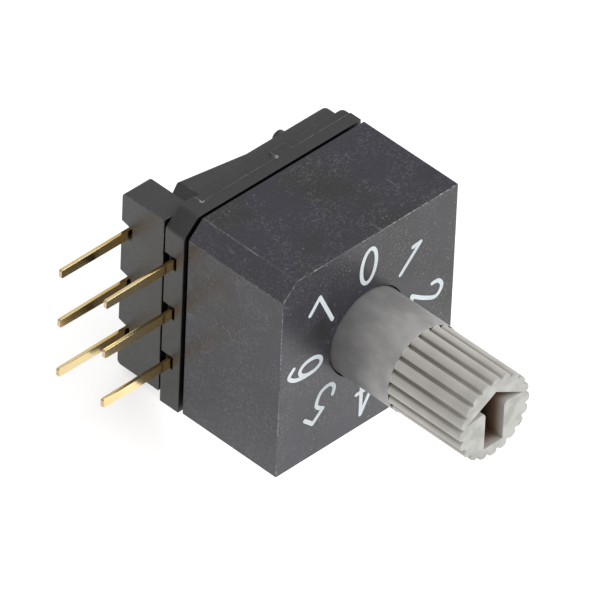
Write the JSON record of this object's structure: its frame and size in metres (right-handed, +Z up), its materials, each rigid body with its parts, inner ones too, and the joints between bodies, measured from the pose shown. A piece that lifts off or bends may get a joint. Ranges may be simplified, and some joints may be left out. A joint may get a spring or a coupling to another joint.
{
  "type": "rotary coding switch",
  "caption": "Square sealed rotary encoder switch for a circuit board, with a knurled slotted shaft, a numbered dial and right-angle pins.",
  "frame": {"origin": "on the shaft's axis, at the dial face of the front housing", "axes": "+Z up with digit 0 at the top, -Y out of the dial along the shaft, pins along -X"},
  "size_m": [0.0136, 0.016, 0.0098],
  "materials": {
    "housing_plastic": "charcoal glass-filled moulding, satin, scuffed",
    "base_plastic": "smooth dark grey moulding",
    "shaft_plastic": "warm light grey moulding",
    "gold_plate": "bright gold plating",
    "seal_rubber": "black rubber",
    "washer_brass": "stamped brass",
    "spring_steel": "stainless spring strip",
    "disc_laminate": "glass-epoxy laminate",
    "casting_resin": "dark casting resin",
    "dial_ink": "white printing ink on the dial"
  },
  "bodies": {
    "body": {"front_housing": "housing_plastic", "shaft_seal": "seal_rubber", "thrust_washer": "washer_brass", "detent_spring_upper": "spring_steel", "detent_spring_lower": "spring_steel", "wiper_1": "gold_plate", "wiper_2": "gold_plate", "wiper_4": "gold_plate", "wiper_common": "gold_plate", "housing_gasket": "seal_rubber", "contact_base": "base_plastic", "sealing_resin": "casting_resin", "pin_carrier": "base_plastic", "terminal_1": "gold_plate", "terminal_2": "gold_plate", "terminal_4": "gold_plate", "terminal_common": "gold_plate", "support_pin_upper": "gold_plate", "support_pin_lower": "gold_plate"},
    "rotor": {"actuator_shaft": "shaft_plastic", "detent_wheel": "shaft_plastic", "code_disc": "disc_laminate", "code_tracks": "gold_plate"}
  },
  "joints": [
    {"name": "shaft_turn", "type": "hinge", "parent": "body", "child": "rotor", "pos_m": [0, 0, 0], "axis": [0, 1, 0], "continuous": true, "deforming": ["detent_spring_upper", "detent_spring_lower"]}
  ]
}
